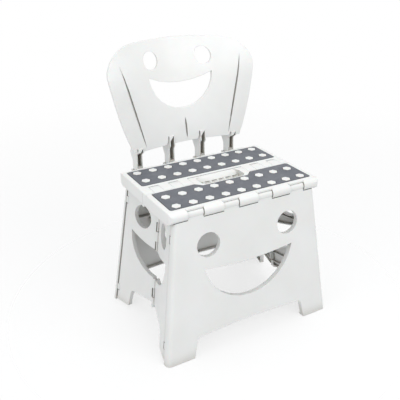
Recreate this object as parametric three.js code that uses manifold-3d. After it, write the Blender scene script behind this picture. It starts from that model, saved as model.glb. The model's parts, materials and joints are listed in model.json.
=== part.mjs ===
// Folding step stool with a lift-off backrest. Millimetres, +Z up, the front faces -Y.
// Sizes are measured with x = 0 on the plane of symmetry, y = 0 on the centre hinge and z = 0 on
// the seat top. The finished group is moved so that its box stands centred on the origin.
// Every folding line of the four sides points at one apex above the seat, so a wall keeps its
// plan shape at each level and only grows in proportion to its distance below the apex.

import * as THREE from "three";
import { mergeVertices } from "three/addons/utils/BufferGeometryUtils.js";
import Module from "manifold-3d";

const wasm = await Module();
wasm.setup();

// Whole stool
const SEAT_HEIGHT = 267;
const SEAT_HALF_WIDTH = 144;
const APEX_HEIGHT = 998;
const GAP = 0.4;
const OVERRUN = 6;

// Seat halves
const SEAT_THICKNESS = 22;
const SEAT_PLATE = 3.2;
const SEAT_WALL = 3;
const SEAT_RIB = 2;
const SEAT_RIB_DEPTH = 17;
const SEAT_CORNER_RADIUS = 8;
const SEAT_EDGE_ROUND = 3;
const CROSS_WALL_Y = 76;
const FINGER_REACH = 11.6;
const FINGER_PITCH = 18.2;
const FINGER_WALL = 2.6;
const HUB_RADIUS = 4.6;

// Hand hole and grip bar, in the middle finger of the front half
const GRIP_HALF_WIDTH = 54.7;
const HAND_HOLE_HALF_WIDTH = 43;
const HAND_HOLE_FRONT_Y = -24;
const HAND_HOLE_CORNER = 9;
const GRIP_TOP_Y = 7.6;
const GRIP_FOOT_Y = -5.6;
const GRIP_FOOT_Z = -17.5;
const GRIP_SCALLOP_RADIUS = 8;
const GRIP_SCALLOP_DEPTH = 2.4;
const GRIP_SCALLOP_PITCH = 14;
const GRIP_SCALLOPS = 6;

// Pads and dots
const PAD_INSET = 9;
const PAD_HALF_WIDTH = SEAT_HALF_WIDTH - PAD_INSET;
const PAD_REAR_Y = [20, 87.4];
const PAD_FRONT_Y = [15.6, 85.4];
const PAD_CORNER_RADIUS = 4;
const PAD_THICKNESS = 1.3;
const PAD_PROUD = 0.4;
const PAD_PLAY = 1;
const PAD_NOTCH_HALF_WIDTH = 56;
const PAD_NOTCH_FLOOR_HALF_WIDTH = 45;
const PAD_NOTCH_Y = 26.4;
const DOT_RADIUS = 8;
const DOT_PROUD = 0.9;
const DOT_SIDES = 6;
const DOT_COLUMNS = 9;
const DOT_MARGIN = 15;
const DOT_PITCH = (2 * (PAD_HALF_WIDTH - DOT_MARGIN)) / (DOT_COLUMNS - 1);
const DOT_ROWS_Y = [38, 75];

// Hinges between seat and legs
const LEG_AXIS_Y = 89.8;
const SEAT_BARREL_RADIUS = 9.9;
const LEG_BARREL_RADIUS = 7.9;
const LEG_BARREL_PLAY = 0.5;
const KNUCKLE_PLAY = 0.9;
const SEAT_KNUCKLE = 36;
const CORNER_KNUCKLE = 32;
const LEG_KNUCKLE = (SEAT_HALF_WIDTH - CORNER_KNUCKLE - 1.5 * SEAT_KNUCKLE) / 2;
const KNUCKLE_WEB = 14;
const LIP_Y = 94.4;
const ROD_RADIUS = 2;
const ROD_END_COVER = 3;

// Front and rear legs
const LEG_FACE_Y = 95.4;
const LEG_INSET = 12;
const LEG_HALF_WIDTH = SEAT_HALF_WIDTH - LEG_INSET;
const LEG_WALL = 2.5;
const LEG_DEPTH = 9;
const LEG_RIB_DEPTH = 8.2;
const LEG_EDGE_RADIUS = 7;
const LEG_RETURN = 10.8;
const RIM_WALL = 2.4;
const RIB = 1.8;
const LEG_CROSS_RIB_Z = -99;
const SOLE = 3;

// Cut-outs of a leg, as places on its outer face: across, and up from the seat top
const EYE_RADIUS = 21.3;
const EYE_DROP = 67.5;
const LEG_EYE_X = 77.5;
const LEG_SMILE = { topZ: -115.5, topRadius: 585, bottomZ: -181, bottomRadius: 88.6 };
const LEG_ARCH = { topHalf: 107, floorHalf: 115, topZ: -230, crown: 4, corner: 8 };
const REAR_ARCH_TOP_Z = -222;

// Side halves: where their hinge lines cross the level of the seat top
const CORNER_AXIS_INSET = 16.6;
const CORNER_AXIS_Y = 80.6;
const MID_AXIS_INSET = 34.1;
const CORNER_AXIS = new THREE.Vector2(SEAT_HALF_WIDTH - CORNER_AXIS_INSET, CORNER_AXIS_Y);
const MID_AXIS = new THREE.Vector2(SEAT_HALF_WIDTH - MID_AXIS_INSET, 0);
const CORNER_BARREL = 3.6;
const CORNER_LUG = 3.3;
const SIDE_PIN = 1.5;
const MID_BARREL = 3.6;
const SIDE_WALL = 2.5;
const SIDE_DEPTH = 7.5;
const SIDE_RIB_DEPTH = 6.8;
const SIDE_TOP_Z = -24;
const SIDE_EDGE_RIM = 3;
const SIDE_NOTCH_HALF = 8;
const SIDE_NOTCH_Z = -33;
const SIDE_EYE_Y = 41;
const SIDE_SMILE = { topZ: -117, topRadius: 161, bottomZ: -173, bottomRadius: 69 };
const SIDE_ARCH = { topHalf: 62, floorHalf: 69, topZ: -225, crown: 3, corner: 7 };
const SIDE_FOOT_Z = -262;
const SIDE_SOLE_Y = 58;
const SIDE_RIB = 1.8;
const SIDE_SHELF_DEPTH = 6.1;
const SIDE_RIB_Z = [-96, -190, -212];
const CORNER_LUG_Z = [-50, -236];
const CORNER_LUG_HEIGHT = 12;
const CORNER_LUG_PLAY = 1.1;
const CORNER_PIN_LENGTH = 34;
const UPPER_HINGE_TOP_Z = -43;
const UPPER_HINGE_PITCH = 18.5;
const LOWER_HINGE_TOP_Z = -171;
const LOWER_HINGE_PITCH = 19.3;
const MID_HINGES = [
  { name: "upper", topZ: UPPER_HINGE_TOP_Z, pitch: UPPER_HINGE_PITCH, knuckles: 4 },
  { name: "lower", topZ: LOWER_HINGE_TOP_Z, pitch: LOWER_HINGE_PITCH, knuckles: 3 },
];
const MID_PIN = 2;
const MID_PLAY = 0.9;
const CRADLE_REACH = 3.2;
const CRADLE_DEPTH = 6;

// Backrest: heights above the seat top
const BACK_THICKNESS = 4.5;
const BACK_FOOT_Z = 25;
const BACK_FOOT_RISE = 4;
const BACK_FOOT_HALF = 110;
const BACK_WIDEST_Z = 158;
const BACK_HALF = 145.3;
const BACK_TOP_Z = 209.3;
const BACK_SHOULDER = new THREE.Vector2(88, 207.2);
const BACK_SIDE_PULL = new THREE.Vector2(132.4, 75);
const BACK_SHOULDER_PULLS = [new THREE.Vector2(146.2, 180), new THREE.Vector2(122, 205.5)];
const WING_Y = 104.2;
const WING_LEAN_share = 0.077;
const WING_BEND = 17.5;
const WING_BEND_Z = 142;
const WING_BEND_SPAN = 70;
const DISH_FOOT = 7;
const DISH_GROWTH = 31;
const DISH_SPAN = 190;
const DISH_FOOT_HALF = 110;
const DISH_SPREAD_share = 0.235;
const BACK_EYE = { x: 53, z: 175.6, radius: 15.4 };
const BACK_SMILE = { topZ: 134, topRadius: 151, bottomZ: 88.8, bottomRadius: 64.5 };
const GROOVE_WIDTH = 3.8;
const GROOVE_DEPTH = 3.2;
const GROOVE_FLOOR_share = 0.6;
const GROOVE_TAPER_share = 0.5;
const GROOVE_TIP_share = 0.05;
const WING_GROOVE = [new THREE.Vector2(85.5, 31), new THREE.Vector2(120.5, 179)];
const MIDDLE_GROOVE = [new THREE.Vector2(0, 34), new THREE.Vector2(0, 72)];

// Backrest posts, and the sockets on the rear leg that hold them
const POST_HALF = 5.5;
const POST_FRONT_Y = 114;
const POST_BACK_Y = 134;
const POST_SIDE_WALL = 1.8;
const POST_BACK_WALL = 3;
const POST_FOOT_Z = -43;
const POST_POCKET_Z = -5;
const POST_BEND_Z = 2;
const POST_THROAT_Z = 18;
const POST_HEEL = new THREE.Vector2(144, 16);
const POST_HEAD_Z = 62;
const POST_TIP_Z = { inner: 43, outer: 32 };
const POST_SLANT = 10;
const POST_LIP = 0.8;
const NOTCH_REACH = 15;
const NOTCH_DROP = 5;
const SOCKET_TOP_Z = -16;
const SOCKET_WALL = 2.6;
const SOCKET_FLOOR = 2.4;

// Facets of round shapes
const OUTLINE_SIDES = 20;
const BARREL_SIDES = 16;
const FINGER_SIDES = 24;
const SMALL_SIDES = 12;
const PIN_SIDES = 8;
const BACK_COLUMNS = 14;
const BACK_ROWS = 10;

// Places that follow from the sizes above
const LEG_AXIS_Z = -SEAT_BARREL_RADIUS;
const CENTRE_AXIS_Z = -(SEAT_THICKNESS + GAP);
const FLOOR_Z = -SEAT_HEIGHT;
const FINGER_RADIUS = Math.hypot(FINGER_REACH, CENTRE_AXIS_Z);
const KNUCKLE_PITCH = SEAT_KNUCKLE + LEG_KNUCKLE;
const LEG_TILT = Math.atan(LEG_FACE_Y / APEX_HEIGHT);
const LEG_KNUCKLE_X = [-1.5, -0.5, 0.5, 1.5].map((share) => share * KNUCKLE_PITCH);
const FRONT = -1;
const REAR = 1;

// Solids

function toSolid(geometry, turned = false) {
  const bare = new THREE.BufferGeometry();
  bare.setAttribute("position", geometry.attributes.position.clone());
  bare.setIndex(geometry.index);
  const merged = mergeVertices(bare);
  const triVerts = Uint32Array.from(merged.index.array);
  if (turned) {
    for (let i = 0; i < triVerts.length; i += 3) {
      [triVerts[i], triVerts[i + 1]] = [triVerts[i + 1], triVerts[i]];
    }
  }
  const vertProperties = Float32Array.from(merged.attributes.position.array);
  return new wasm.Manifold(new wasm.Mesh({ numProp: 3, vertProperties, triVerts }));
}

const joined = (solids) => solids.reduce((whole, next) => whole.add(next));
const cutBy = (solid, cutters) => cutters.reduce((left, next) => left.subtract(next), solid);

// A box from three pairs, each given as two ends in any order
function box(xEnds, yEnds, zEnds) {
  const low = [xEnds, yEnds, zEnds].map((ends) => Math.min(...ends));
  const size = [xEnds, yEnds, zEnds].map((ends) => Math.abs(ends[1] - ends[0]));
  const geometry = new THREE.BoxGeometry(...size);
  geometry.translate(...low.map((value, i) => value + size[i] / 2));
  return toSolid(geometry);
}

function barrel(start, end, radius, sides = BARREL_SIDES) {
  const geometry = new THREE.CylinderGeometry(radius, radius, start.distanceTo(end), sides);
  const along = end.clone().sub(start).normalize();
  geometry.applyQuaternion(
    new THREE.Quaternion().setFromUnitVectors(new THREE.Vector3(0, 1, 0), along),
  );
  const middle = start.clone().add(end).multiplyScalar(0.5);
  geometry.translate(middle.x, middle.y, middle.z);
  return toSolid(geometry);
}

const barrelAlongX = (xEnds, y, z, radius, sides) =>
  barrel(new THREE.Vector3(xEnds[0], y, z), new THREE.Vector3(xEnds[1], y, z), radius, sides);

// A prism standing on the level zLow, from an outline in plan
function prism(outline, zLow, zHigh) {
  const geometry = new THREE.ExtrudeGeometry(new THREE.Shape(outline), {
    depth: zHigh - zLow,
    bevelEnabled: false,
  });
  geometry.translate(0, 0, zLow);
  return geometry;
}

const levelScale = (z) => 1 - z / APEX_HEIGHT;

// The same prism, with each level grown in proportion to its distance below the apex
function taperedPrism(outline, zLow, zHigh) {
  const geometry = prism(outline, zLow, zHigh);
  const place = geometry.attributes.position;
  for (let i = 0; i < place.count; i += 1) {
    const scale = levelScale(place.getZ(i));
    place.setXY(i, place.getX(i) * scale, place.getY(i) * scale);
  }
  return toSolid(geometry);
}

// A prism along x, from an outline in y and z
function prismAlongX(outline, xEnds) {
  const geometry = new THREE.ExtrudeGeometry(new THREE.Shape(outline), {
    depth: xEnds[1] - xEnds[0],
    bevelEnabled: false,
  });
  geometry.applyMatrix4(
    new THREE.Matrix4().makeBasis(
      new THREE.Vector3(0, 1, 0),
      new THREE.Vector3(0, 0, 1),
      new THREE.Vector3(1, 0, 0),
    ),
  );
  geometry.translate(xEnds[0], 0, 0);
  return toSolid(geometry);
}

// A slab on a sloping face: its outline is in the face, and it reaches from low to high along
// the outward normal
function slab(outline, face, low, high) {
  const geometry = new THREE.ExtrudeGeometry(new THREE.Shape(outline), {
    depth: high - low,
    bevelEnabled: false,
  });
  geometry.translate(0, 0, low);
  const matrix = new THREE.Matrix4().makeBasis(face.across, face.up, face.out);
  matrix.setPosition(face.origin);
  geometry.applyMatrix4(matrix);
  return toSolid(geometry, matrix.determinant() < 0);
}

// A closed body through rings of equally many points
function loft(rings) {
  const sides = rings[0].length;
  const places = rings.flat().flatMap((p) => [p.x, p.y, p.z]);
  const index = [];
  for (let r = 0; r + 1 < rings.length; r += 1) {
    for (let i = 0; i < sides; i += 1) {
      const a = r * sides + i;
      const b = r * sides + ((i + 1) % sides);
      index.push(a, b, b + sides, a, b + sides, a + sides);
    }
  }
  const last = (rings.length - 1) * sides;
  for (let i = 1; i + 1 < sides; i += 1) {
    index.push(0, i + 1, i, last, last + i, last + i + 1);
  }
  const geometry = new THREE.BufferGeometry();
  geometry.setAttribute("position", new THREE.Float32BufferAttribute(places, 3));
  geometry.setIndex(index);
  return toSolid(geometry);
}

// Outlines

const point = (x, y) => new THREE.Vector2(x, y);

function arc(centreX, centreY, radius, from, to, steps) {
  return Array.from({ length: steps + 1 }, (_, i) => {
    const angle = from + ((to - from) * i) / steps;
    return point(centreX + radius * Math.cos(angle), centreY + radius * Math.sin(angle));
  });
}

const circle = (x, y, radius, sides = OUTLINE_SIDES) =>
  arc(x, y, radius, 0, 2 * Math.PI, sides).slice(0, sides);

function roundedRectangle(xEnds, yEnds, radius) {
  const [left, right] = xEnds;
  const [low, high] = yEnds;
  const quarter = Math.PI / 2;
  const corners = [
    [right - radius, high - radius],
    [left + radius, high - radius],
    [left + radius, low + radius],
    [right - radius, low + radius],
  ];
  return corners.flatMap(([x, y], i) => arc(x, y, radius, i * quarter, (i + 1) * quarter, 4));
}

// A crescent between a wide arc above and a tighter one below, both sagging to the middle.
// Growing it moves both arcs outwards.
function smileOutline(smile, grow) {
  const topCentre = smile.topZ + smile.topRadius;
  const bottomCentre = smile.bottomZ + smile.bottomRadius;
  const top = smile.topRadius - grow;
  const bottom = smile.bottomRadius + grow;
  const between = topCentre - bottomCentre;
  const rise = (bottom ** 2 - top ** 2 + between ** 2) / (2 * between);
  const cornerX = Math.sqrt(bottom ** 2 - rise ** 2);
  const low = Math.atan2(rise, cornerX);
  const high = Math.atan2(rise - between, cornerX);
  return [
    ...arc(0, bottomCentre, bottom, Math.PI - low, 2 * Math.PI + low, 12),
    ...arc(0, topCentre, top, high, -Math.PI - high, 6).slice(1, -1),
  ];
}

// The opening between two feet, with rounded upper corners and a slightly bowed top
function archOutline(arch, grow) {
  const foot = FLOOR_Z - OVERRUN * 2;
  const lean = (arch.floorHalf - arch.topHalf) / (arch.topZ - FLOOR_Z);
  const halfAt = (z) => arch.topHalf + grow + lean * (arch.topZ - z);
  const topZ = arch.topZ + grow;
  const corner = arch.corner;
  const right = [point(halfAt(foot), foot), point(halfAt(topZ - corner), topZ - corner)];
  const bend = new THREE.QuadraticBezierCurve(
    right[1],
    point(halfAt(topZ), topZ),
    point(halfAt(topZ) - corner, topZ),
  ).getPoints(3);
  const crown = new THREE.QuadraticBezierCurve(
    bend[bend.length - 1],
    point(0, topZ + 2 * arch.crown),
    point(corner - halfAt(topZ), topZ),
  ).getPoints(4);
  const left = bend.map((p) => point(-p.x, p.y)).reverse();
  return [right[0], ...bend, ...crown.slice(1), ...left.slice(1), point(-halfAt(foot), foot)];
}

// Colours
const whitePlastic = () =>
  new THREE.MeshStandardMaterial({ color: 0xe9ebe8, roughness: 0.42, metalness: 0 });
const greyRubber = () =>
  new THREE.MeshStandardMaterial({ color: 0x73787d, roughness: 0.75, metalness: 0 });
const steel = () =>
  new THREE.MeshStandardMaterial({ color: 0xb9bcbe, roughness: 0.35, metalness: 0.9 });

function piece(name, solid, material) {
  const made = solid.getMesh();
  const geometry = new THREE.BufferGeometry();
  geometry.setAttribute("position", new THREE.BufferAttribute(made.vertProperties, 3));
  geometry.setIndex(new THREE.BufferAttribute(made.triVerts, 1));
  geometry.computeVertexNormals();
  const mesh = new THREE.Mesh(geometry, material);
  mesh.name = name;
  return mesh;
}

// Seat halves

// The x ranges of one half's fingers at the centre hinge
function fingerRanges(side) {
  const edges = [];
  const last = SEAT_HALF_WIDTH - FINGER_PITCH / 2;
  for (let edge = GRIP_HALF_WIDTH; edge < last; edge += FINGER_PITCH) {
    edges.push(edge);
  }
  edges.push(SEAT_HALF_WIDTH);
  const first = side === FRONT ? 1 : 0;
  const ranges = side === FRONT ? [[-GRIP_HALF_WIDTH, GRIP_HALF_WIDTH]] : [];
  for (let i = first; i + 1 < edges.length; i += 2) {
    ranges.push([edges[i], edges[i + 1]], [-edges[i + 1], -edges[i]]);
  }
  return ranges;
}

// The x ranges of the seat's knuckles at a leg hinge: one in the middle, two on each side
function seatKnuckleRanges() {
  const inner = SEAT_KNUCKLE / 2;
  const middle = [inner + LEG_KNUCKLE, inner + KNUCKLE_PITCH];
  const corner = [inner + KNUCKLE_PITCH + LEG_KNUCKLE, SEAT_HALF_WIDTH];
  const mirrored = ([low, high]) => [-high, -low];
  return [mirrored(corner), mirrored(middle), [-inner, inner], middle, corner];
}

const legKnuckleRange = (x, play) => [x - LEG_KNUCKLE / 2 - play, x + LEG_KNUCKLE / 2 + play];

function padOutline(side, grow) {
  const half = PAD_HALF_WIDTH + grow;
  if (side === REAR) {
    const ends = [PAD_REAR_Y[0] - grow, PAD_REAR_Y[1] + grow];
    return roundedRectangle([-half, half], ends, PAD_CORNER_RADIUS);
  }
  const ends = [-PAD_FRONT_Y[1] - grow, -PAD_FRONT_Y[0] + grow];
  const outline = roundedRectangle([-half, half], ends, PAD_CORNER_RADIUS);
  const notch = [
    point(PAD_NOTCH_HALF_WIDTH - grow, ends[1]),
    point(PAD_NOTCH_FLOOR_HALF_WIDTH - grow, -PAD_NOTCH_Y + grow),
    point(grow - PAD_NOTCH_FLOOR_HALF_WIDTH, -PAD_NOTCH_Y + grow),
    point(grow - PAD_NOTCH_HALF_WIDTH, ends[1]),
  ];
  const firstLeft = outline.findIndex((p) => p.x < 0);
  return [...outline.slice(0, firstLeft), ...notch, ...outline.slice(firstLeft)];
}

const dotPlaces = (side) =>
  DOT_ROWS_Y.flatMap((y) =>
    Array.from({ length: DOT_COLUMNS }, (_, i) =>
      point((i - (DOT_COLUMNS - 1) / 2) * DOT_PITCH, side * y),
    ),
  );

const PAD_SEAT_Z = PAD_PROUD - PAD_THICKNESS - GAP;

const dot = (place) =>
  toSolid(prism(circle(place.x, place.y, DOT_RADIUS, DOT_SIDES), PAD_SEAT_Z - GAP, DOT_PROUD));

// The hollow that the fingers of a range turn in, round the centre hinge
const fingerSpace = (range, radius) =>
  barrelAlongX(range, 0, CENTRE_AXIS_Z, radius, FINGER_SIDES);

function finger(range) {
  const [low, high] = [range[0] + GAP / 2, range[1] - GAP / 2];
  const below = [-SEAT_THICKNESS, 0];
  const reach = [-FINGER_RADIUS, FINGER_RADIUS];
  const outside = fingerSpace([low, high], FINGER_RADIUS).intersect(box([low, high], reach, below));
  const inner = [low + FINGER_WALL, high - FINGER_WALL];
  const hollows = [-1, 1].map((sign) =>
    box(
      inner,
      [sign * HUB_RADIUS, sign * (FINGER_REACH + FINGER_WALL)],
      [-SEAT_THICKNESS - OVERRUN, -SEAT_PLATE - FINGER_WALL],
    ),
  );
  const hub = barrelAlongX([low, high], 0, CENTRE_AXIS_Z, HUB_RADIUS, SMALL_SIDES);
  return cutBy(outside, hollows).add(hub);
}

// A trough through the seat whose rear wall slopes forward under the grip bar
function handHole() {
  const below = CENTRE_AXIS_Z - HUB_RADIUS - OVERRUN;
  const half = HAND_HOLE_HALF_WIDTH;
  const section = [
    point(HAND_HOLE_FRONT_Y, OVERRUN),
    point(HAND_HOLE_FRONT_Y, below),
    point(GRIP_FOOT_Y, below),
    point(GRIP_FOOT_Y, GRIP_FOOT_Z),
    point(GRIP_TOP_Y, 0),
    point(GRIP_TOP_Y, OVERRUN),
  ];
  const plan = roundedRectangle([-half, half], [HAND_HOLE_FRONT_Y, GRIP_TOP_Y], HAND_HOLE_CORNER);
  const trough = prismAlongX(section, [-half, half]).intersect(
    toSolid(prism(plan, below - OVERRUN, 2 * OVERRUN)),
  );
  const slope = new THREE.Vector3(0, GRIP_TOP_Y - GRIP_FOOT_Y, -GRIP_FOOT_Z).normalize();
  const off = new THREE.Vector3(0, -slope.z, slope.y);
  const scallops = Array.from({ length: GRIP_SCALLOPS }, (_, i) => {
    const x = (i - (GRIP_SCALLOPS - 1) / 2) * GRIP_SCALLOP_PITCH;
    const foot = new THREE.Vector3(x, GRIP_FOOT_Y, GRIP_FOOT_Z)
      .addScaledVector(off, GRIP_SCALLOP_RADIUS - GRIP_SCALLOP_DEPTH)
      .addScaledVector(slope, -OVERRUN);
    const top = foot.clone().addScaledVector(slope, -GRIP_FOOT_Z);
    return barrel(foot, top, GRIP_SCALLOP_RADIUS, BARREL_SIDES);
  });
  return joined([trough, ...scallops]);
}

function handHoleRim() {
  const half = HAND_HOLE_HALF_WIDTH + FINGER_WALL;
  return box(
    [-half, half],
    [HAND_HOLE_FRONT_Y - FINGER_WALL, GRIP_TOP_Y],
    [-SEAT_THICKNESS, 0],
  );
}

// The outer shape of the whole seat, with rounded corners and a rounded upper edge
function seatEnvelope() {
  const front = LEG_AXIS_Y + SEAT_BARREL_RADIUS;
  const ring = (inset, z) =>
    roundedRectangle(
      [inset - SEAT_HALF_WIDTH, SEAT_HALF_WIDTH - inset],
      [inset - front, front - inset],
      SEAT_CORNER_RADIUS - inset,
    ).map((p) => new THREE.Vector3(p.x, p.y, z));
  const round = SEAT_EDGE_ROUND;
  return loft([
    ring(0, CENTRE_AXIS_Z - OVERRUN),
    ring(0, -round),
    ring(round / 3, -round / 3),
    ring((5 * round) / 3, round / 3),
  ]);
}

function seatHalf(side) {
  const across = [-SEAT_HALF_WIDTH, SEAT_HALF_WIDTH];
  const inside = [SEAT_WALL - SEAT_HALF_WIDTH, SEAT_HALF_WIDTH - SEAT_WALL];
  const recess = FINGER_RADIUS + GAP;
  const cavityEnds = [side * FINGER_REACH, side * CROSS_WALL_Y];
  const below = [-SEAT_THICKNESS - OVERRUN, -SEAT_PLATE];
  const cavity = box(inside, cavityEnds, below).subtract(
    fingerSpace(across, recess + FINGER_WALL),
  );
  const hingeBay = box(
    inside,
    [side * (CROSS_WALL_Y + SEAT_WALL), side * (LEG_AXIS_Y + SEAT_BARREL_RADIUS)],
    below,
  );
  const shell = box(across, [0, side * LEG_AXIS_Y], [-SEAT_THICKNESS, 0]);
  const ribDepth = [-SEAT_RIB_DEPTH, 0];
  const ribEnds = [side * (recess + FINGER_WALL / 2), side * CROSS_WALL_Y];
  const ribs = [-1, 0, 1].map((share) => {
    const x = share * KNUCKLE_PITCH;
    return box([x - SEAT_RIB / 2, x + SEAT_RIB / 2], ribEnds, ribDepth);
  });
  const middleY = side * (CROSS_WALL_Y + recess) * 0.5;
  ribs.push(box(inside, [middleY - SEAT_RIB / 2, middleY + SEAT_RIB / 2], ribDepth));

  const bays = seatKnuckleRanges().map((range) => {
    const web = box(range, [side * CROSS_WALL_Y, side * LEG_AXIS_Y], [-KNUCKLE_WEB, 0]);
    return barrelAlongX(range, side * LEG_AXIS_Y, LEG_AXIS_Z, SEAT_BARREL_RADIUS).add(web);
  });
  const lips = LEG_KNUCKLE_X.map((x) =>
    box(
      legKnuckleRange(x, KNUCKLE_PLAY),
      [side * CROSS_WALL_Y, side * LIP_Y],
      [-SEAT_PLATE, 0],
    ),
  );
  const notches = LEG_KNUCKLE_X.map((x) =>
    barrelAlongX(
      legKnuckleRange(x, KNUCKLE_PLAY / 2),
      side * LEG_AXIS_Y,
      LEG_AXIS_Z,
      LEG_BARREL_RADIUS + LEG_BARREL_PLAY,
    ),
  );

  let half = joined([shell.subtract(cavity).subtract(hingeBay), ...ribs, ...bays, ...lips]);
  half = cutBy(half, notches);
  half = cutBy(half, fingerRanges(-side).map((range) => fingerSpace(range, recess)));
  half = joined([half, ...fingerRanges(side).map(finger)]).intersect(seatEnvelope());
  if (side === FRONT) {
    half = half.add(handHoleRim()).subtract(handHole());
  }
  half = half.subtract(toSolid(prism(padOutline(side, GAP), PAD_SEAT_Z, OVERRUN)));
  half = joined([half, ...dotPlaces(side).map(dot)]);
  const bore = ROD_RADIUS + GAP;
  const boreEnds = [ROD_END_COVER - SEAT_HALF_WIDTH, SEAT_HALF_WIDTH - ROD_END_COVER];
  return cutBy(half, [
    barrelAlongX(boreEnds, side * LEG_AXIS_Y, LEG_AXIS_Z, bore, PIN_SIDES),
    barrelAlongX(boreEnds, 0, CENTRE_AXIS_Z, bore, PIN_SIDES),
  ]);
}

function pad(side) {
  const sheet = toSolid(prism(padOutline(side, GAP - PAD_PLAY), PAD_SEAT_Z + GAP, PAD_PROUD));
  const radius = DOT_RADIUS + PAD_PLAY;
  const holes = dotPlaces(side).map((place) =>
    toSolid(prism(circle(place.x, place.y, radius, DOT_SIDES), PAD_SEAT_Z - GAP, OVERRUN)),
  );
  return cutBy(sheet, holes);
}

// Legs

const legFace = (side) => ({
  origin: new THREE.Vector3(0, side * LEG_FACE_Y, 0),
  across: new THREE.Vector3(1, 0, 0),
  up: new THREE.Vector3(0, -side * Math.sin(LEG_TILT), Math.cos(LEG_TILT)),
  out: new THREE.Vector3(0, side * Math.cos(LEG_TILT), Math.sin(LEG_TILT)),
});

// One line of the leg's plan, at a distance inside its outer surface: from the right edge round
// both rounded corners to the left edge, ending at a depth behind the face
function legLine(inset, depth) {
  const radius = LEG_EDGE_RADIUS - inset;
  const quarter = Math.PI / 2;
  const x = LEG_HALF_WIDTH - LEG_EDGE_RADIUS;
  const y = LEG_FACE_Y - LEG_EDGE_RADIUS;
  const endX = LEG_HALF_WIDTH - inset;
  return [
    point(endX, LEG_FACE_Y - depth),
    ...arc(x, y, radius, 0, quarter, 5),
    ...arc(-x, y, radius, quarter, 2 * quarter, 5),
    point(-endX, LEG_FACE_Y - depth),
  ];
}

const onSide = (side, outline) => outline.map((p) => point(p.x, side * p.y));

// The leg's plan: a shallow channel whose rounded edges turn back along the sides
const channelOutline = (side) =>
  onSide(side, [...legLine(0, LEG_RETURN), ...legLine(LEG_WALL, LEG_RETURN).reverse()]);

// Stiffening behind a leg's face: along its top, round its cut-outs, and up and down its middle
function legRibs(side, face) {
  const topZ = 2 * LEG_AXIS_Z - 2 * GAP;
  const footZ = FLOOR_Z - OVERRUN;
  const level = onSide(side, legLine(LEG_WALL / 2, LEG_DEPTH));
  const shelf = onSide(side, legLine(LEG_WALL / 2, LEG_RIB_DEPTH));
  const ribs = [
    taperedPrism(level, topZ - RIM_WALL, topZ),
    taperedPrism(level, footZ, FLOOR_Z + SOLE),
    taperedPrism(shelf, LEG_CROSS_RIB_Z - RIB / 2, LEG_CROSS_RIB_Z + RIB / 2),
  ];
  const inner = KNUCKLE_PITCH / 2;
  const outer = LEG_HALF_WIDTH - LEG_EDGE_RADIUS;
  const upright = (x, low, high) =>
    slab(
      [
        point((x - RIB / 2) * levelScale(low), low),
        point((x + RIB / 2) * levelScale(low), low),
        point((x + RIB / 2) * levelScale(high), high),
        point((x - RIB / 2) * levelScale(high), high),
      ],
      face,
      -LEG_RIB_DEPTH,
      -LEG_WALL / 2,
    );
  for (const sign of [-1, 1]) {
    ribs.push(upright(sign * inner, LEG_SMILE.topZ, topZ - RIM_WALL / 2));
    ribs.push(upright(sign * outer, footZ, topZ - RIM_WALL / 2));
  }
  return ribs;
}

const legCutouts = (side, grow) => [
  circle(LEG_EYE_X, -EYE_DROP, EYE_RADIUS + grow),
  circle(-LEG_EYE_X, -EYE_DROP, EYE_RADIUS + grow),
  smileOutline(LEG_SMILE, grow),
  archOutline(side === FRONT ? LEG_ARCH : { ...LEG_ARCH, topZ: REAR_ARCH_TOP_Z }, grow),
];

// The lug that holds the corner pin of a side half, and the web that carries it
function cornerLug(sideX, side, z) {
  const low = z - CORNER_LUG_HEIGHT / 2;
  const high = z + CORNER_LUG_HEIGHT / 2;
  const put = (p) => point(sideX * p.x, side * p.y);
  const round = circle(CORNER_AXIS.x, CORNER_AXIS.y, CORNER_LUG, SMALL_SIDES).map(put);
  const wallX = LEG_HALF_WIDTH - GAP;
  const wallY = LEG_FACE_Y - LEG_RETURN + LEG_WALL;
  const web = [
    point(CORNER_AXIS.x - CORNER_LUG / 2, CORNER_AXIS.y),
    point(CORNER_AXIS.x + CORNER_LUG, CORNER_AXIS.y),
    point(wallX, wallY),
    point(CORNER_AXIS.x - CORNER_LUG / 2, wallY),
  ].map(put);
  return taperedPrism(round, low, high).add(taperedPrism(web, low, high));
}

const axisPoint = (axis, sideX, side, z) =>
  new THREE.Vector3(sideX * axis.x * levelScale(z), side * axis.y * levelScale(z), z);

const cornerPinHole = (sideX, side, z, radius, length) =>
  barrel(
    axisPoint(CORNER_AXIS, sideX, side, z - length / 2),
    axisPoint(CORNER_AXIS, sideX, side, z + length / 2),
    radius,
    PIN_SIDES,
  );

// A box socket on the rear leg for one backrest post
function socket(x) {
  const half = POST_HALF + GAP + SOCKET_WALL;
  const bottom = POST_FOOT_Z - GAP - SOCKET_FLOOR;
  const inner = [x - POST_HALF - GAP, x + POST_HALF + GAP];
  const body = box(
    [x - half, x + half],
    [LEG_FACE_Y, POST_BACK_Y + GAP + SOCKET_WALL],
    [bottom, SOCKET_TOP_Z],
  );
  const mouth = box(
    inner,
    [POST_FRONT_Y - GAP, POST_BACK_Y + GAP],
    [POST_FOOT_Z - GAP, SOCKET_TOP_Z + OVERRUN],
  );
  const lightening = box(
    inner,
    [LEG_FACE_Y * levelScale(bottom) + SOCKET_WALL, POST_FRONT_Y - GAP - SOCKET_WALL],
    [bottom - OVERRUN, SOCKET_TOP_Z + OVERRUN],
  );
  return { body, holes: [mouth, lightening] };
}

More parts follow.
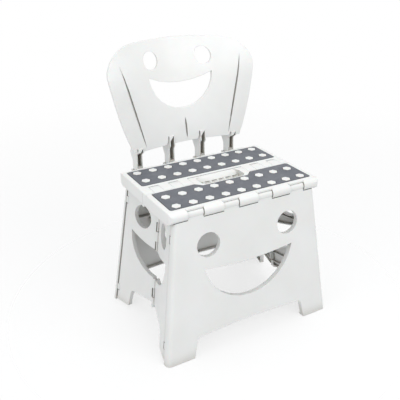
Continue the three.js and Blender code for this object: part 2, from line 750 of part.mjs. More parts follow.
function leg(side) {
  const face = legFace(side);
  const shell = taperedPrism(channelOutline(side), FLOOR_Z, LEG_AXIS_Z);
  const rims = legCutouts(side, RIM_WALL).map((outline) =>
    slab(outline, face, -LEG_DEPTH, -LEG_WALL / 2),
  );
  const knuckles = LEG_KNUCKLE_X.map((x) =>
    barrelAlongX(legKnuckleRange(x, -KNUCKLE_PLAY / 2), side * LEG_AXIS_Y, LEG_AXIS_Z, LEG_BARREL_RADIUS),
  );
  const arms = LEG_KNUCKLE_X.map((x) =>
    box(
      legKnuckleRange(x, -KNUCKLE_PLAY / 2),
      [side * (LEG_FACE_Y - LEG_DEPTH), side * LEG_FACE_Y],
      [2 * LEG_AXIS_Z - GAP, LEG_AXIS_Z],
    ),
  );
  const swings = seatKnuckleRanges().map((range) =>
    barrelAlongX(
      [range[0] - KNUCKLE_PLAY / 2, range[1] + KNUCKLE_PLAY / 2],
      side * LEG_AXIS_Y,
      LEG_AXIS_Z,
      SEAT_BARREL_RADIUS + KNUCKLE_PLAY,
    ),
  );
  const holes = legCutouts(side, 0).map((outline) =>
    slab(outline, face, -LEG_DEPTH - OVERRUN, OVERRUN),
  );
  const reach = 2 * SEAT_HALF_WIDTH;
  const ground = box([-reach, reach], [-reach, reach], [FLOOR_Z - SEAT_HEIGHT, FLOOR_Z]);

  let solid = cutBy(joined([shell, ...rims, ...legRibs(side, face), ...arms]), [
    ...swings,
    ...holes,
    ground,
  ]);
  solid = joined([solid, ...knuckles]);
  for (const sideX of [-1, 1]) {
    for (const z of CORNER_LUG_Z) {
      solid = solid
        .add(cornerLug(sideX, side, z))
        .subtract(cornerPinHole(sideX, side, z, SIDE_PIN + GAP, CORNER_PIN_LENGTH));
    }
  }
  if (side === REAR) {
    const sockets = LEG_KNUCKLE_X.map(socket);
    solid = joined([solid, ...sockets.map((each) => each.body)]);
    solid = cutBy(solid, sockets.flatMap((each) => each.holes));
  }
  const ends = [ROD_END_COVER - SEAT_HALF_WIDTH, SEAT_HALF_WIDTH - ROD_END_COVER];
  const bore = ROD_RADIUS + GAP;
  return solid.subtract(barrelAlongX(ends, side * LEG_AXIS_Y, LEG_AXIS_Z, bore, PIN_SIDES));
}

// Side halves

// The outer face of a side half, in plan at the seat top: it stands off the corner hinge by the
// corner barrel and passes just inside the middle hinge
const HINGE_SPAN = CORNER_AXIS.clone().sub(MID_AXIS);
const FACE_ANGLE =
  Math.atan2(HINGE_SPAN.x, HINGE_SPAN.y) + Math.asin((CORNER_BARREL + GAP) / HINGE_SPAN.length());
const FACE_ALONG = point(Math.sin(FACE_ANGLE), Math.cos(FACE_ANGLE));
const FACE_OUT = point(Math.cos(FACE_ANGLE), -Math.sin(FACE_ANGLE));
const FACE_OFFSET = MID_AXIS.dot(FACE_OUT) - GAP;
const FACE_TILT = Math.atan(FACE_OFFSET / APEX_HEIGHT);
const CORNER_ALONG = HINGE_SPAN.dot(FACE_ALONG);

// A plan point by its distance along the face from the middle hinge and out from that hinge
function planPoint(sideX, side, along, out) {
  const p = MID_AXIS.clone().addScaledVector(FACE_ALONG, along).addScaledVector(FACE_OUT, out);
  return point(sideX * p.x, side * p.y);
}

// How far along the face lies the plane y, at a distance out
const alongAt = (y, out) => (y - out * FACE_OUT.y) / FACE_ALONG.y;

function planBand(sideX, side, y, alongEnd, depth) {
  const outer = -GAP;
  const inner = -GAP - depth;
  return [
    planPoint(sideX, side, alongAt(y, outer), outer),
    planPoint(sideX, side, alongEnd, outer),
    planPoint(sideX, side, alongEnd, inner),
    planPoint(sideX, side, alongAt(y, inner), inner),
  ];
}

function planBox(sideX, side, alongEnds, outEnds) {
  return [
    planPoint(sideX, side, alongEnds[0], outEnds[0]),
    planPoint(sideX, side, alongEnds[1], outEnds[0]),
    planPoint(sideX, side, alongEnds[1], outEnds[1]),
    planPoint(sideX, side, alongEnds[0], outEnds[1]),
  ];
}

function sideFace(sideX, side) {
  const vector = (p, z) => new THREE.Vector3(sideX * p.x, side * p.y, z);
  return {
    origin: vector(FACE_OUT.clone().multiplyScalar(FACE_OFFSET), 0),
    across: vector(FACE_ALONG, 0),
    up: vector(FACE_OUT.clone().multiplyScalar(-Math.sin(FACE_TILT)), Math.cos(FACE_TILT)),
    out: vector(FACE_OUT.clone().multiplyScalar(Math.cos(FACE_TILT)), Math.sin(FACE_TILT)),
  };
}

// Turns an outline in y and z into one on the sloping face
function onSideFace(outline) {
  return outline.map((p) => {
    const up = p.y / Math.cos(FACE_TILT);
    const shift = -FACE_OUT.y * (FACE_OFFSET - Math.sin(FACE_TILT) * up);
    return point((p.x + shift) / FACE_ALONG.y, up);
  });
}

const sideCutouts = (grow) =>
  [
    circle(SIDE_EYE_Y, -EYE_DROP, EYE_RADIUS + grow),
    smileOutline(SIDE_SMILE, grow),
    archOutline(SIDE_ARCH, grow),
  ].map(onSideFace);

// The levels of one half's knuckles at the middle hinge, from the top down
function midKnuckles(hinge, side) {
  const first = side === FRONT ? 0 : 1;
  const spans = [];
  for (let i = first; i < hinge.knuckles; i += 2) {
    spans.push([hinge.topZ - (i + 1) * hinge.pitch, hinge.topZ - i * hinge.pitch]);
  }
  return spans;
}

const midBarrel = (sideX, span, radius, sides) =>
  barrel(
    axisPoint(MID_AXIS, sideX, 1, span[0]),
    axisPoint(MID_AXIS, sideX, 1, span[1]),
    radius,
    sides,
  );

// The open bearing of the rear halves: an inner ledge and a heel behind the pin
function cradle(sideX, side, span) {
  const quarter = Math.PI / 2;
  const heel = arc(0, 0, MID_BARREL, -quarter, quarter, SMALL_SIDES / 2).map((p) =>
    planPoint(sideX, side, p.x, p.y),
  );
  const ledge = planBox(sideX, side, [-CRADLE_REACH, SIDE_EDGE_RIM], [-CRADLE_DEPTH, -GAP / 2]);
  return taperedPrism(heel, ...span).add(taperedPrism(ledge, ...span));
}

function sideHalf(sideX, side) {
  const face = sideFace(sideX, side);
  const put = (p) => point(sideX * p.x, side * p.y);
  const footZ = SIDE_FOOT_Z - OVERRUN;
  const wall = taperedPrism(
    planBand(sideX, side, -GAP, CORNER_ALONG, SIDE_WALL),
    footZ,
    SIDE_TOP_Z,
  );
  const cornerRound = circle(CORNER_AXIS.x, CORNER_AXIS.y, CORNER_BARREL, SMALL_SIDES).map(put);
  const cornerBarrel = taperedPrism(cornerRound, footZ, SIDE_TOP_Z);
  const midRim = taperedPrism(
    planBand(sideX, side, -GAP, SIDE_EDGE_RIM, SIDE_RIB_DEPTH),
    footZ,
    SIDE_TOP_Z - RIM_WALL / 2,
  );
  const topRim = taperedPrism(
    planBand(sideX, side, -GAP, CORNER_ALONG, SIDE_DEPTH),
    SIDE_TOP_Z - RIM_WALL,
    SIDE_TOP_Z,
  );
  const sole = taperedPrism(
    planBand(sideX, side, SIDE_SOLE_Y / levelScale(SIDE_FOOT_Z), CORNER_ALONG, SIDE_RIB_DEPTH),
    footZ,
    SIDE_FOOT_Z + SOLE,
  );
  const shelf = planBand(sideX, side, -GAP, CORNER_ALONG, SIDE_SHELF_DEPTH);
  const ribs = SIDE_RIB_Z.map((z) => taperedPrism(shelf, z - SIDE_RIB / 2, z + SIDE_RIB / 2));
  const rims = sideCutouts(RIM_WALL).map((outline) =>
    slab(outline, face, -SIDE_DEPTH, -SIDE_WALL / 2),
  );
  const holes = sideCutouts(0).map((outline) =>
    slab(outline, face, -SIDE_DEPTH - OVERRUN, OVERRUN),
  );
  const reach = 2 * SEAT_HALF_WIDTH;
  const otherHalf = box([-reach, reach], [-side * reach, side * GAP], [FLOOR_Z * 2, reach]);
  const ground = box([-reach, reach], [-reach, reach], [FLOOR_Z * 2, SIDE_FOOT_Z]);
  const hubNotch = box(
    [-reach, reach],
    [-SIDE_NOTCH_HALF, SIDE_NOTCH_HALF],
    [SIDE_NOTCH_Z, reach],
  );
  let solid = cutBy(joined([wall, cornerBarrel, midRim, topRim, sole, ...ribs, ...rims]), [
    otherHalf,
    ground,
    hubNotch,
    ...holes,
  ]);

  for (const hinge of MID_HINGES) {
    for (const span of midKnuckles(hinge, -side)) {
      const clear = [span[0] - MID_PLAY, span[1] + MID_PLAY];
      const back = MID_BARREL + GAP;
      solid = solid.subtract(
        taperedPrism(
          planBox(sideX, side, [-back, back], [-SIDE_DEPTH - OVERRUN, OVERRUN]),
          ...clear,
        ),
      );
    }
    for (const span of midKnuckles(hinge, side)) {
      if (side === FRONT) {
        solid = solid.add(midBarrel(sideX, span, MID_BARREL, SMALL_SIDES));
      } else {
        solid = solid.add(cradle(sideX, side, [span[0] + MID_PLAY, span[1] - MID_PLAY]));
      }
    }
    const whole = [hinge.topZ - hinge.knuckles * hinge.pitch, hinge.topZ];
    const bore = MID_PIN + GAP;
    if (side === FRONT) {
      const cut = [whole[0] - OVERRUN, whole[1] + OVERRUN];
      solid = solid.subtract(midBarrel(sideX, cut, bore, PIN_SIDES));
    } else {
      const way = planBox(sideX, side, [-OVERRUN, bore], [-bore, OVERRUN]);
      solid = solid.subtract(taperedPrism(way, whole[0] - GAP, whole[1] + GAP));
    }
  }

  for (const z of CORNER_LUG_Z) {
    const half = CORNER_LUG_HEIGHT / 2 + CORNER_LUG_PLAY;
    const clear = CORNER_BARREL + GAP;
    const round = circle(CORNER_AXIS.x, CORNER_AXIS.y, clear, SMALL_SIDES).map(put);
    solid = solid
      .subtract(taperedPrism(round, z - half, z + half))
      .subtract(cornerPinHole(sideX, side, z, SIDE_PIN + GAP, CORNER_PIN_LENGTH));
  }
  return solid;
}

// Backrest

const smoothStep = (share) => {
  const s = Math.min(Math.max(share, 0), 1);
  return s * s * (3 - 2 * s);
};

// The front surface: flat wings at the sides and a dish in the middle that deepens upwards
function backrestY(x, z) {
  const rise = z - BACK_FOOT_Z;
  const bend = Math.max(0, (z - WING_BEND_Z) / WING_BEND_SPAN);
  const wing = WING_Y + WING_LEAN_share * rise + WING_BEND * bend ** 1.5;
  const dish = DISH_FOOT + DISH_GROWTH * smoothStep(rise / DISH_SPAN);
  const half = DISH_FOOT_HALF + DISH_SPREAD_share * rise;
  const share = Math.min(Math.abs(x) / half, 1);
  return wing + dish * (1 - share ** 2) ** 2;
}

function curvedPlate() {
  const half = BACK_HALF + OVERRUN;
  const low = BACK_FOOT_Z - OVERRUN;
  const high = BACK_TOP_Z + OVERRUN;
  const places = [];
  for (const thick of [0, BACK_THICKNESS]) {
    for (let row = 0; row <= BACK_ROWS; row += 1) {
      for (let column = 0; column <= BACK_COLUMNS; column += 1) {
        const x = half * ((2 * column) / BACK_COLUMNS - 1);
        const z = low + ((high - low) * row) / BACK_ROWS;
        places.push(x, backrestY(x, z) + thick, z);
      }
    }
  }
  const wide = BACK_COLUMNS + 1;
  const back = wide * (BACK_ROWS + 1);
  const at = (column, row) => row * wide + column;
  const index = [];
  const quad = (a, b, c, d) => index.push(a, b, c, a, c, d);
  for (let row = 0; row < BACK_ROWS; row += 1) {
    for (let column = 0; column < BACK_COLUMNS; column += 1) {
      const a = at(column, row);
      const b = at(column + 1, row);
      const c = at(column + 1, row + 1);
      const d = at(column, row + 1);
      quad(a, b, c, d);
      quad(back + a, back + d, back + c, back + b);
    }
  }
  for (let column = 0; column < BACK_COLUMNS; column += 1) {
    const a = at(column, 0);
    const b = at(column, BACK_ROWS);
    quad(a, back + a, back + a + 1, a + 1);
    quad(b, b + 1, back + b + 1, back + b);
  }
  for (let row = 0; row < BACK_ROWS; row += 1) {
    const a = at(0, row);
    const b = at(BACK_COLUMNS, row);
    quad(a, a + wide, back + a + wide, back + a);
    quad(b, back + b, back + b + wide, b + wide);
  }
  const geometry = new THREE.BufferGeometry();
  geometry.setAttribute("position", new THREE.Float32BufferAttribute(places, 3));
  geometry.setIndex(index);
  return toSolid(geometry);
}

function backrestOutline() {
  const side = new THREE.QuadraticBezierCurve(
    point(BACK_FOOT_HALF, BACK_FOOT_Z),
    BACK_SIDE_PULL,
    point(BACK_HALF, BACK_WIDEST_Z),
  ).getPoints(7);
  const shoulder = new THREE.CubicBezierCurve(
    point(BACK_HALF, BACK_WIDEST_Z),
    ...BACK_SHOULDER_PULLS,
    BACK_SHOULDER,
  ).getPoints(8);
  const top = new THREE.QuadraticBezierCurve(
    BACK_SHOULDER,
    point(BACK_SHOULDER.x / 2, BACK_TOP_Z),
    point(0, BACK_TOP_Z),
  ).getPoints(4);
  const right = [...side, ...shoulder.slice(1), ...top.slice(1)];
  const left = right.slice(0, -1).map((p) => point(-p.x, p.y)).reverse();
  const foot = new THREE.QuadraticBezierCurve(
    left[left.length - 1],
    point(0, BACK_FOOT_Z + 2 * BACK_FOOT_RISE),
    right[0],
  ).getPoints(6);
  return [...right, ...left, ...foot.slice(1, -1)];
}

const alongY = (outline) =>
  slab(
    outline,
    {
      origin: new THREE.Vector3(0, 0, 0),
      across: new THREE.Vector3(1, 0, 0),
      up: new THREE.Vector3(0, 0, 1),
      out: new THREE.Vector3(0, 1, 0),
    },
    0,
    2 * POST_BACK_Y,
  );

// A pointed groove in the front surface, from one place to another on it
function groove(from, to) {
  const steps = 7;
  const across = point(to.y - from.y, from.x - to.x).normalize();
  const rings = Array.from({ length: steps + 1 }, (_, i) => {
    const share = i / steps;
    const middle = from.clone().lerp(to, share);
    const swell = Math.max(Math.sin(Math.PI * share) ** GROOVE_TAPER_share, GROOVE_TIP_share);
    const half = (GROOVE_WIDTH * swell) / 2;
    const y = backrestY(middle.x, middle.y);
    const at = (shift, out) =>
      new THREE.Vector3(middle.x + across.x * shift, y + out, middle.y + across.y * shift);
    const floor = half * GROOVE_FLOOR_share;
    const depth = GROOVE_DEPTH * swell;
    return [
      at(-half, -OVERRUN),
      at(half, -OVERRUN),
      at(half, 0),
      at(floor, depth),
      at(-floor, depth),
      at(-half, 0),
    ];
  });
  return loft(rings);
}

// A post: a channel open to the front, solid below, that ends in a slanting point on the front
// surface. The panel's lower edge curves up to it on its left.
function post(x) {
  const place = Math.abs(x) < KNUCKLE_PITCH ? "inner" : "outer";
  const tipZ = POST_TIP_Z[place];
  const frontAt = (z) => backrestY(x, z) - POST_LIP;
  const profile = [
    point(POST_FRONT_Y, POST_FOOT_Z),
    point(POST_BACK_Y, POST_FOOT_Z),
    point(POST_BACK_Y, POST_BEND_Z),
    POST_HEEL,
    point(backrestY(x, POST_HEAD_Z) + BACK_THICKNESS / 2, POST_HEAD_Z),
    point(backrestY(x, tipZ) + BACK_THICKNESS / 2, tipZ + POST_SIDE_WALL),
    point(frontAt(tipZ), tipZ),
    point(frontAt(BACK_FOOT_Z), BACK_FOOT_Z),
    point(POST_FRONT_Y, POST_THROAT_Z),
  ];
  const inner = POST_HALF - POST_SIDE_WALL;
  const mouth = alongY([
    point(x - inner, POST_POCKET_Z),
    point(x + inner, POST_POCKET_Z),
    point(x + inner, tipZ - GAP),
    point(x - inner, tipZ - POST_SLANT),
  ]);
  const hollow = prismAlongX(
    [
      point(0, POST_POCKET_Z),
      point(POST_BACK_Y - POST_BACK_WALL, POST_POCKET_Z),
      point(POST_BACK_Y - POST_BACK_WALL, POST_BEND_Z),
      point(POST_HEEL.x - POST_BACK_WALL, POST_HEEL.y),
      point(frontAt(tipZ), tipZ),
      point(0, tipZ),
    ],
    [x - POST_HALF, x + POST_HALF],
  );
  const left = x - POST_HALF - POST_SIDE_WALL;
  const edge = new THREE.QuadraticBezierCurve(
    point(left - NOTCH_REACH, BACK_FOOT_Z),
    point(left, BACK_FOOT_Z),
    point(left, tipZ),
  ).getPoints(4);
  const below = BACK_FOOT_Z - NOTCH_DROP;
  const notch = alongY([
    point(left - NOTCH_REACH, below),
    point(x, below),
    point(x, tipZ),
    ...edge.reverse(),
  ]);
  return {
    body: prismAlongX(profile, [x - POST_HALF, x + POST_HALF]),
    channel: mouth.intersect(hollow),
    notch,
  };
}

function backrest() {
  const mirror = (p) => point(-p.x, p.y);
  const panel = curvedPlate().intersect(alongY(backrestOutline()));
  const grooves = [
    groove(...WING_GROOVE),
    groove(...WING_GROOVE.map(mirror)),
    groove(...MIDDLE_GROOVE),
  ];
  const holes = [
    circle(BACK_EYE.x, BACK_EYE.z, BACK_EYE.radius),
    circle(-BACK_EYE.x, BACK_EYE.z, BACK_EYE.radius),
    smileOutline(BACK_SMILE, 0),
  ].map(alongY);
  const posts = LEG_KNUCKLE_X.map(post);
  const cut = cutBy(panel, [...grooves, ...posts.map((each) => each.notch)]);
  const whole = joined([cut, ...posts.map((each) => each.body)]);
  return cutBy(whole, [...holes, ...posts.map((each) => each.channel)]);
}

// Assembly

const stool = new THREE.Group();
const rodEnds = [ROD_END_COVER + GAP - SEAT_HALF_WIDTH, SEAT_HALF_WIDTH - ROD_END_COVER - GAP];

stool.add(piece("leg_rear", leg(REAR), whitePlastic()));
stool.add(piece("leg_front", leg(FRONT), whitePlastic()));
stool.add(piece("seat_rear", seatHalf(REAR), whitePlastic()));
stool.add(piece("seat_front", seatHalf(FRONT), whitePlastic()));
stool.add(piece("pad_rear", pad(REAR), greyRubber()));
stool.add(piece("pad_front", pad(FRONT), greyRubber()));
stool.add(piece("backrest", backrest(), whitePlastic()));

const rod = (y, z) => barrelAlongX(rodEnds, y, z, ROD_RADIUS, PIN_SIDES);
stool.add(piece("centre_hinge_rod", rod(0, CENTRE_AXIS_Z), steel()));
stool.add(piece("rear_hinge_rod", rod(LEG_AXIS_Y, LEG_AXIS_Z), steel()));
stool.add(piece("front_hinge_rod", rod(-LEG_AXIS_Y, LEG_AXIS_Z), steel()));

for (const [hand, sideX] of [["left", -1], ["right", 1]]) {
  for (const [end, side] of [["front", FRONT], ["rear", REAR]]) {
    stool.add(piece(`side_${hand}_${end}`, sideHalf(sideX, side), whitePlastic()));
    CORNER_LUG_Z.forEach((z, i) => {
      const pin = cornerPinHole(sideX, side, z, SIDE_PIN, CORNER_PIN_LENGTH - 2 * GAP);
      stool.add(piece(`corner_pin_${hand}_${end}_${MID_HINGES[i].name}`, pin, steel()));
    });
  }
  for (const hinge of MID_HINGES) {
    const span = [hinge.topZ - hinge.knuckles * hinge.pitch, hinge.topZ];
    const pin = midBarrel(sideX, span, MID_PIN, PIN_SIDES);
    stool.add(piece(`middle_pin_${hand}_${hinge.name}`, pin, whitePlastic()));
  }
}

const bounds = new THREE.Box3().setFromObject(stool);
stool.position.set(0, -(bounds.min.y + bounds.max.y) / 2, -bounds.min.z);

export default stool;
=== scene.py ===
import json
import math

import bpy
from mathutils import Matrix, Vector


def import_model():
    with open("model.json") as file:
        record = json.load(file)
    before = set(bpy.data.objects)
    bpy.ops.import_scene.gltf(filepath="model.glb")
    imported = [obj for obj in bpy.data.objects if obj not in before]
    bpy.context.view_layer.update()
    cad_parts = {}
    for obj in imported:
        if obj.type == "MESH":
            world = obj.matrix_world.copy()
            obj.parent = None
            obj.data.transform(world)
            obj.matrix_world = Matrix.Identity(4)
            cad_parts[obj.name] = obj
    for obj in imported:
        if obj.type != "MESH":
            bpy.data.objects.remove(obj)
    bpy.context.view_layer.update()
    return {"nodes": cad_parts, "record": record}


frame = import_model()
MM = 0.001

# The model's own origin in the CAD frame: the seat top, over the centre hinge
ORIGIN = Vector((0, -28.15268, 267.0)) * MM

# Edges up to this angle are shaded smooth, and corners this close together are one
SMOOTH_ANGLE = math.radians(31)
SAME_CORNER = 0.004 * MM

# Painted shade: the plastic's colour is darkened and warmed where walls stand close, from hollows
# to slots: how far the walls are looked for, the openness when darkest and when unshaded, and the
# shade colour there
PAINTED_SHADE_LEVELS = (
    (30 * MM, 0.3, 0.9, (0.5, 0.485, 0.44)),
    (6 * MM, 0.3, 0.7, (0.42, 0.41, 0.38)),
    (4 * MM, 0.15, 0.55, (0.14, 0.135, 0.12)),
)
EDGE_RADIUS = 0.9 * MM

# The photo's camera: its place, its direction, and its lens in millimetres
EYE = Vector((-471.8, -786.9, 388.4)) * MM + ORIGIN
AZIMUTH = math.radians(-30.09)
ELEVATION = math.radians(25.524)
SENSOR_WIDTH = 36
FOCAL_LENGTH = 51.454
SHIFT_X = -0.02565
SHIFT_Y = 0.0011

# The floor lies just under the feet and fades into the background with distance: where,
# in metres, the fade starts and ends, and how clear the floor is by the stool
FLOOR_HALF = 2.5
FLOOR_GAP = 0.4 * MM
FADE_START = 0.22
FADE_END = 1.6
LEAST_FADE = 0.72

# Lamps, in metres and watts: name, place, width and height, power; all look at one point
LAMPS = (
    ("key", (0.5, -1.6, 1.6), (1.6, 1.2), 18),
    ("fill", (-1.8, -0.6, 0.9), (1.4, 1.4), 11),
    ("top", (0.1, 0.2, 1.9), (1.4, 1.4), 8.5),
)
LAMP_TARGET = Vector((0, 0, 0.24))
DAYLIGHT = (0.97, 0.985, 1)
DAYLIGHT_STRENGTH = 0.62
WHITE = (1, 1, 1)


def principled(name, colour, roughness):
    material = bpy.data.materials.new(name)
    material.use_nodes = True
    shader = material.node_tree.nodes["Principled BSDF"]
    shader.inputs["Base Color"].default_value = (*colour, 1)
    shader.inputs["Roughness"].default_value = roughness
    return material, material.node_tree, shader


# Makes a node; a value goes to the socket of its name, or else to the node's own setting
def add(tree, kind, **values):
    node = tree.nodes.new(kind)
    for key, value in values.items():
        if key in node.inputs:
            node.inputs[key].default_value = value
        else:
            setattr(node, key, value)
    return node


def noise(tree, place, scale, detail):
    node = add(tree, "ShaderNodeTexNoise", Scale=scale, Detail=detail)
    tree.links.new(place.outputs["Object"], node.inputs["Vector"])
    return node.outputs["Fac"]


# Maps a value from start..stop, by default the middle of a noise, to low..high
def spread(tree, value, low, high, start=0.3, stop=0.7, curve="LINEAR"):
    node = add(tree, "ShaderNodeMapRange", interpolation_type=curve)
    node.inputs["From Min"].default_value = start
    node.inputs["From Max"].default_value = stop
    node.inputs["To Min"].default_value = low
    node.inputs["To Max"].default_value = high
    tree.links.new(value, node.inputs["Value"])
    return node.outputs["Result"]


# Mixes two colours; the second may be a plain colour or another node's output
def blend_colour(tree, factor, low, high):
    node = add(tree, "ShaderNodeMix", data_type="RGBA")
    tree.links.new(factor, node.inputs["Factor"])
    first, second = [socket for socket in node.inputs if socket.type == "RGBA"]
    first.default_value = (*low, 1)
    if isinstance(high, tuple):
        second.default_value = (*high, 1)
    else:
        tree.links.new(high, second)
    return next(socket for socket in node.outputs if socket.type == "RGBA")


# Adds relief of the given depth, over the normal of another node where there is one
def bump(tree, height, strength, depth, under=None):
    node = add(tree, "ShaderNodeBump", Strength=strength, Distance=depth)
    tree.links.new(height, node.inputs["Height"])
    if under is not None:
        tree.links.new(under, node.inputs["Normal"])
    return node.outputs["Normal"]


# How open a place is, from 0 in a narrow slot to 1 on a free face; the mask for the painted shade
# in the plastic
def openness(tree, reach, start, stop):
    node = add(tree, "ShaderNodeAmbientOcclusion", samples=8, Distance=reach)
    return spread(tree, node.outputs["AO"], 0, 1, start, stop)


# Mixes two shaders and makes the mixture the surface of the named output
def mix_surface(tree, factor, first, second, output):
    mix = add(tree, "ShaderNodeMixShader")
    tree.links.new(factor, mix.inputs[0])
    tree.links.new(first.outputs[0], mix.inputs[1])
    tree.links.new(second.outputs[0], mix.inputs[2])
    tree.links.new(mix.outputs[0], tree.nodes[output].inputs["Surface"])


def white_plastic():
    material, tree, shader = principled("white_plastic", colour=(0.78, 0.785, 0.77), roughness=0.4)
    place = add(tree, "ShaderNodeTexCoord")
    cloud = spread(tree, noise(tree, place, scale=14, detail=4), 0, 1)
    tint = blend_colour(tree, cloud, (0.765, 0.768, 0.75), (0.80, 0.805, 0.795))
    # Painted shade: the colour is pulled towards each darker shade colour where ambient occlusion
    # finds walls close
    for reach, start, stop, shade in PAINTED_SHADE_LEVELS:
        tint = blend_colour(tree, openness(tree, reach, start, stop), shade, tint)
    tree.links.new(tint, shader.inputs["Base Color"])
    smear = noise(tree, place, scale=45, detail=5)
    tree.links.new(spread(tree, smear, low=0.33, high=0.47), shader.inputs["Roughness"])
    edge = add(tree, "ShaderNodeBevel", samples=6, Radius=EDGE_RADIUS)
    wave = noise(tree, place, scale=22, detail=2)
    grain = noise(tree, place, scale=1600, detail=2)
    broad = bump(tree, wave, strength=0.05, depth=2 * MM, under=edge.outputs["Normal"])
    fine = bump(tree, grain, strength=0.06, depth=0.2 * MM, under=broad)
    tree.links.new(fine, shader.inputs["Normal"])
    shader.inputs["Specular IOR Level"].default_value = 0.45
    shader.inputs["Subsurface Weight"].default_value = 0.06
    shader.inputs["Subsurface Scale"].default_value = 4 * MM
    return material


def grip_pad():
    material, tree, shader = principled("grip_pad", colour=(0.12, 0.128, 0.15), roughness=0.62)
    place = add(tree, "ShaderNodeTexCoord")
    cloud = spread(tree, noise(tree, place, scale=30, detail=4), 0, 1)
    tint = blend_colour(tree, cloud, (0.105, 0.113, 0.132), (0.14, 0.148, 0.168))
    tree.links.new(tint, shader.inputs["Base Color"])
    smear = noise(tree, place, scale=90, detail=3)
    tree.links.new(spread(tree, smear, low=0.52, high=0.7), shader.inputs["Roughness"])
    pebble = add(tree, "ShaderNodeTexVoronoi", Scale=900)
    tree.links.new(place.outputs["Object"], pebble.inputs["Vector"])
    relief = bump(tree, pebble.outputs["Distance"], strength=0.25, depth=0.3 * MM)
    tree.links.new(relief, shader.inputs["Normal"])
    return material


def hinge_steel():
    material, tree, shader = principled("hinge_steel", colour=(0.6, 0.61, 0.62), roughness=0.32)
    shader.inputs["Metallic"].default_value = 1
    place = add(tree, "ShaderNodeTexCoord")
    streak = noise(tree, place, scale=260, detail=4)
    tint = blend_colour(tree, spread(tree, streak, 0, 1), (0.52, 0.525, 0.53), (0.66, 0.665, 0.67))
    tree.links.new(tint, shader.inputs["Base Color"])
    tree.links.new(spread(tree, streak, low=0.24, high=0.42), shader.inputs["Roughness"])
    relief = bump(tree, streak, strength=0.1, depth=0.1 * MM)
    tree.links.new(relief, shader.inputs["Normal"])
    return material


# Joins the split corners of a CAD node and keeps only its real edges sharp
def smoothing_group():
    group = bpy.data.node_groups.new("smooth_by_angle", "GeometryNodeTree")
    group.interface.new_socket("Geometry", in_out="INPUT", socket_type="NodeSocketGeometry")
    group.interface.new_socket("Geometry", in_out="OUTPUT", socket_type="NodeSocketGeometry")
    start = add(group, "NodeGroupInput")
    end = add(group, "NodeGroupOutput")
    merge = add(group, "GeometryNodeMergeByDistance", Distance=SAME_CORNER)
    angle = add(group, "GeometryNodeInputMeshEdgeAngle")
    soft = add(group, "FunctionNodeCompare", data_type="FLOAT", operation="LESS_EQUAL")
    soft.inputs["B"].default_value = SMOOTH_ANGLE
    faces = add(group, "GeometryNodeSetShadeSmooth", domain="FACE")
    edges = add(group, "GeometryNodeSetShadeSmooth", domain="EDGE")
    link = group.links.new
    link(start.outputs[0], merge.inputs["Geometry"])
    link(merge.outputs["Geometry"], faces.inputs["Geometry"])
    link(faces.outputs["Geometry"], edges.inputs["Geometry"])
    link(angle.outputs["Unsigned Angle"], soft.inputs["A"])
    link(soft.outputs["Result"], edges.inputs["Shade Smooth"])
    link(edges.outputs["Geometry"], end.inputs[0])
    return group


# Gives each CAD node the material of its slot and smooth shading
def dress():
    materials = {
        "white_plastic": white_plastic(),
        "grip_pad": grip_pad(),
        "hinge_steel": hinge_steel(),
    }
    slots = {entry["node"]: entry["material_slot"] for entry in frame["record"]["subparts"]}
    smooth = smoothing_group()
    for name, node in frame["nodes"].items():
        node.data.materials.clear()
        node.data.materials.append(materials[slots[name]])
        normals = node.data.attributes.get("custom_normal")
        if normals:
            node.data.attributes.remove(normals)
        modifier = node.modifiers.new("smooth", "NODES")
        modifier.node_group = smooth


def photo_camera():
    level = math.cos(ELEVATION)
    right = Vector((math.cos(AZIMUTH), math.sin(AZIMUTH), 0))
    back = Vector(
        (math.sin(AZIMUTH) * level, -math.cos(AZIMUTH) * level, math.sin(ELEVATION))
    )
    up = back.cross(right)
    data = bpy.data.cameras.new("camera")
    data.sensor_width = SENSOR_WIDTH
    data.lens = FOCAL_LENGTH
    data.shift_x = SHIFT_X
    data.shift_y = SHIFT_Y
    camera = bpy.data.objects.new("camera", data)
    turn = Matrix((right, up, back)).transposed().to_4x4()
    camera.matrix_world = Matrix.Translation(EYE) @ turn
    bpy.context.scene.collection.objects.link(camera)
    bpy.context.scene.camera = camera


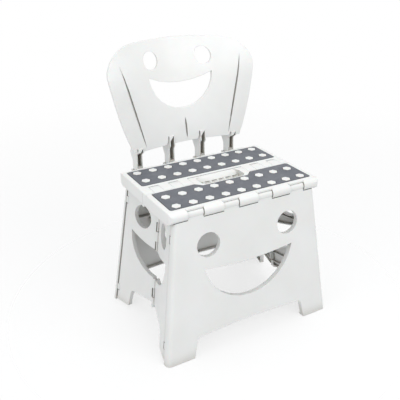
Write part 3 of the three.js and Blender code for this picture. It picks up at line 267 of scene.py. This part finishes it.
def floor_material():
    material, tree, shader = principled("floor", colour=(0.9, 0.9, 0.9), roughness=0.7)
    place = add(tree, "ShaderNodeTexCoord")
    far = add(tree, "ShaderNodeVectorMath", operation="LENGTH")
    tree.links.new(place.outputs["Object"], far.inputs[0])
    fade = spread(tree, far.outputs["Value"], LEAST_FADE, 1, FADE_START, FADE_END, "SMOOTHSTEP")
    clear = add(tree, "ShaderNodeBsdfTransparent")
    mix_surface(tree, fade, shader, clear, "Material Output")
    speck = noise(tree, place, scale=60, detail=3)
    tree.links.new(spread(tree, speck, low=0.62, high=0.74), shader.inputs["Roughness"])
    return material


def floor():
    mesh = bpy.data.meshes.new("floor")
    half = FLOOR_HALF
    corners = [(-half, -half, 0), (half, -half, 0), (half, half, 0), (-half, half, 0)]
    mesh.from_pydata(corners, [], [(0, 1, 2, 3)])
    mesh.materials.append(floor_material())
    ground = bpy.data.objects.new("floor", mesh)
    ground.location.z = -FLOOR_GAP
    bpy.context.scene.collection.objects.link(ground)


def lamp(name, place, size, power):
    data = bpy.data.lights.new(name, "AREA")
    data.shape = "RECTANGLE"
    data.size, data.size_y = size
    data.energy = power
    light = bpy.data.objects.new(name, data)
    light.location = place
    away = Vector(place) - LAMP_TARGET
    light.rotation_euler = away.to_track_quat("Z", "Y").to_euler()
    bpy.context.scene.collection.objects.link(light)


# Daylight on the stool; the camera, reflections and clear parts see plain white instead
def world():
    studio = bpy.data.worlds.new("studio")
    studio.use_nodes = True
    tree = studio.node_tree
    daylight = tree.nodes["Background"]
    daylight.inputs["Color"].default_value = (*DAYLIGHT, 1)
    daylight.inputs["Strength"].default_value = DAYLIGHT_STRENGTH
    white = add(tree, "ShaderNodeBackground", Color=(*WHITE, 1), Strength=1)
    path = add(tree, "ShaderNodeLightPath")
    seen = path.outputs["Is Camera Ray"]
    for ray in ("Is Glossy Ray", "Is Transmission Ray"):
        either = add(tree, "ShaderNodeMath", operation="MAXIMUM")
        tree.links.new(seen, either.inputs[0])
        tree.links.new(path.outputs[ray], either.inputs[1])
        seen = either.outputs[0]
    mix_surface(tree, seen, daylight, white, "World Output")
    bpy.context.scene.world = studio


dress()
photo_camera()
floor()
for values in LAMPS:
    lamp(*values)
world()
bpy.context.scene.view_settings.view_transform = "Standard"
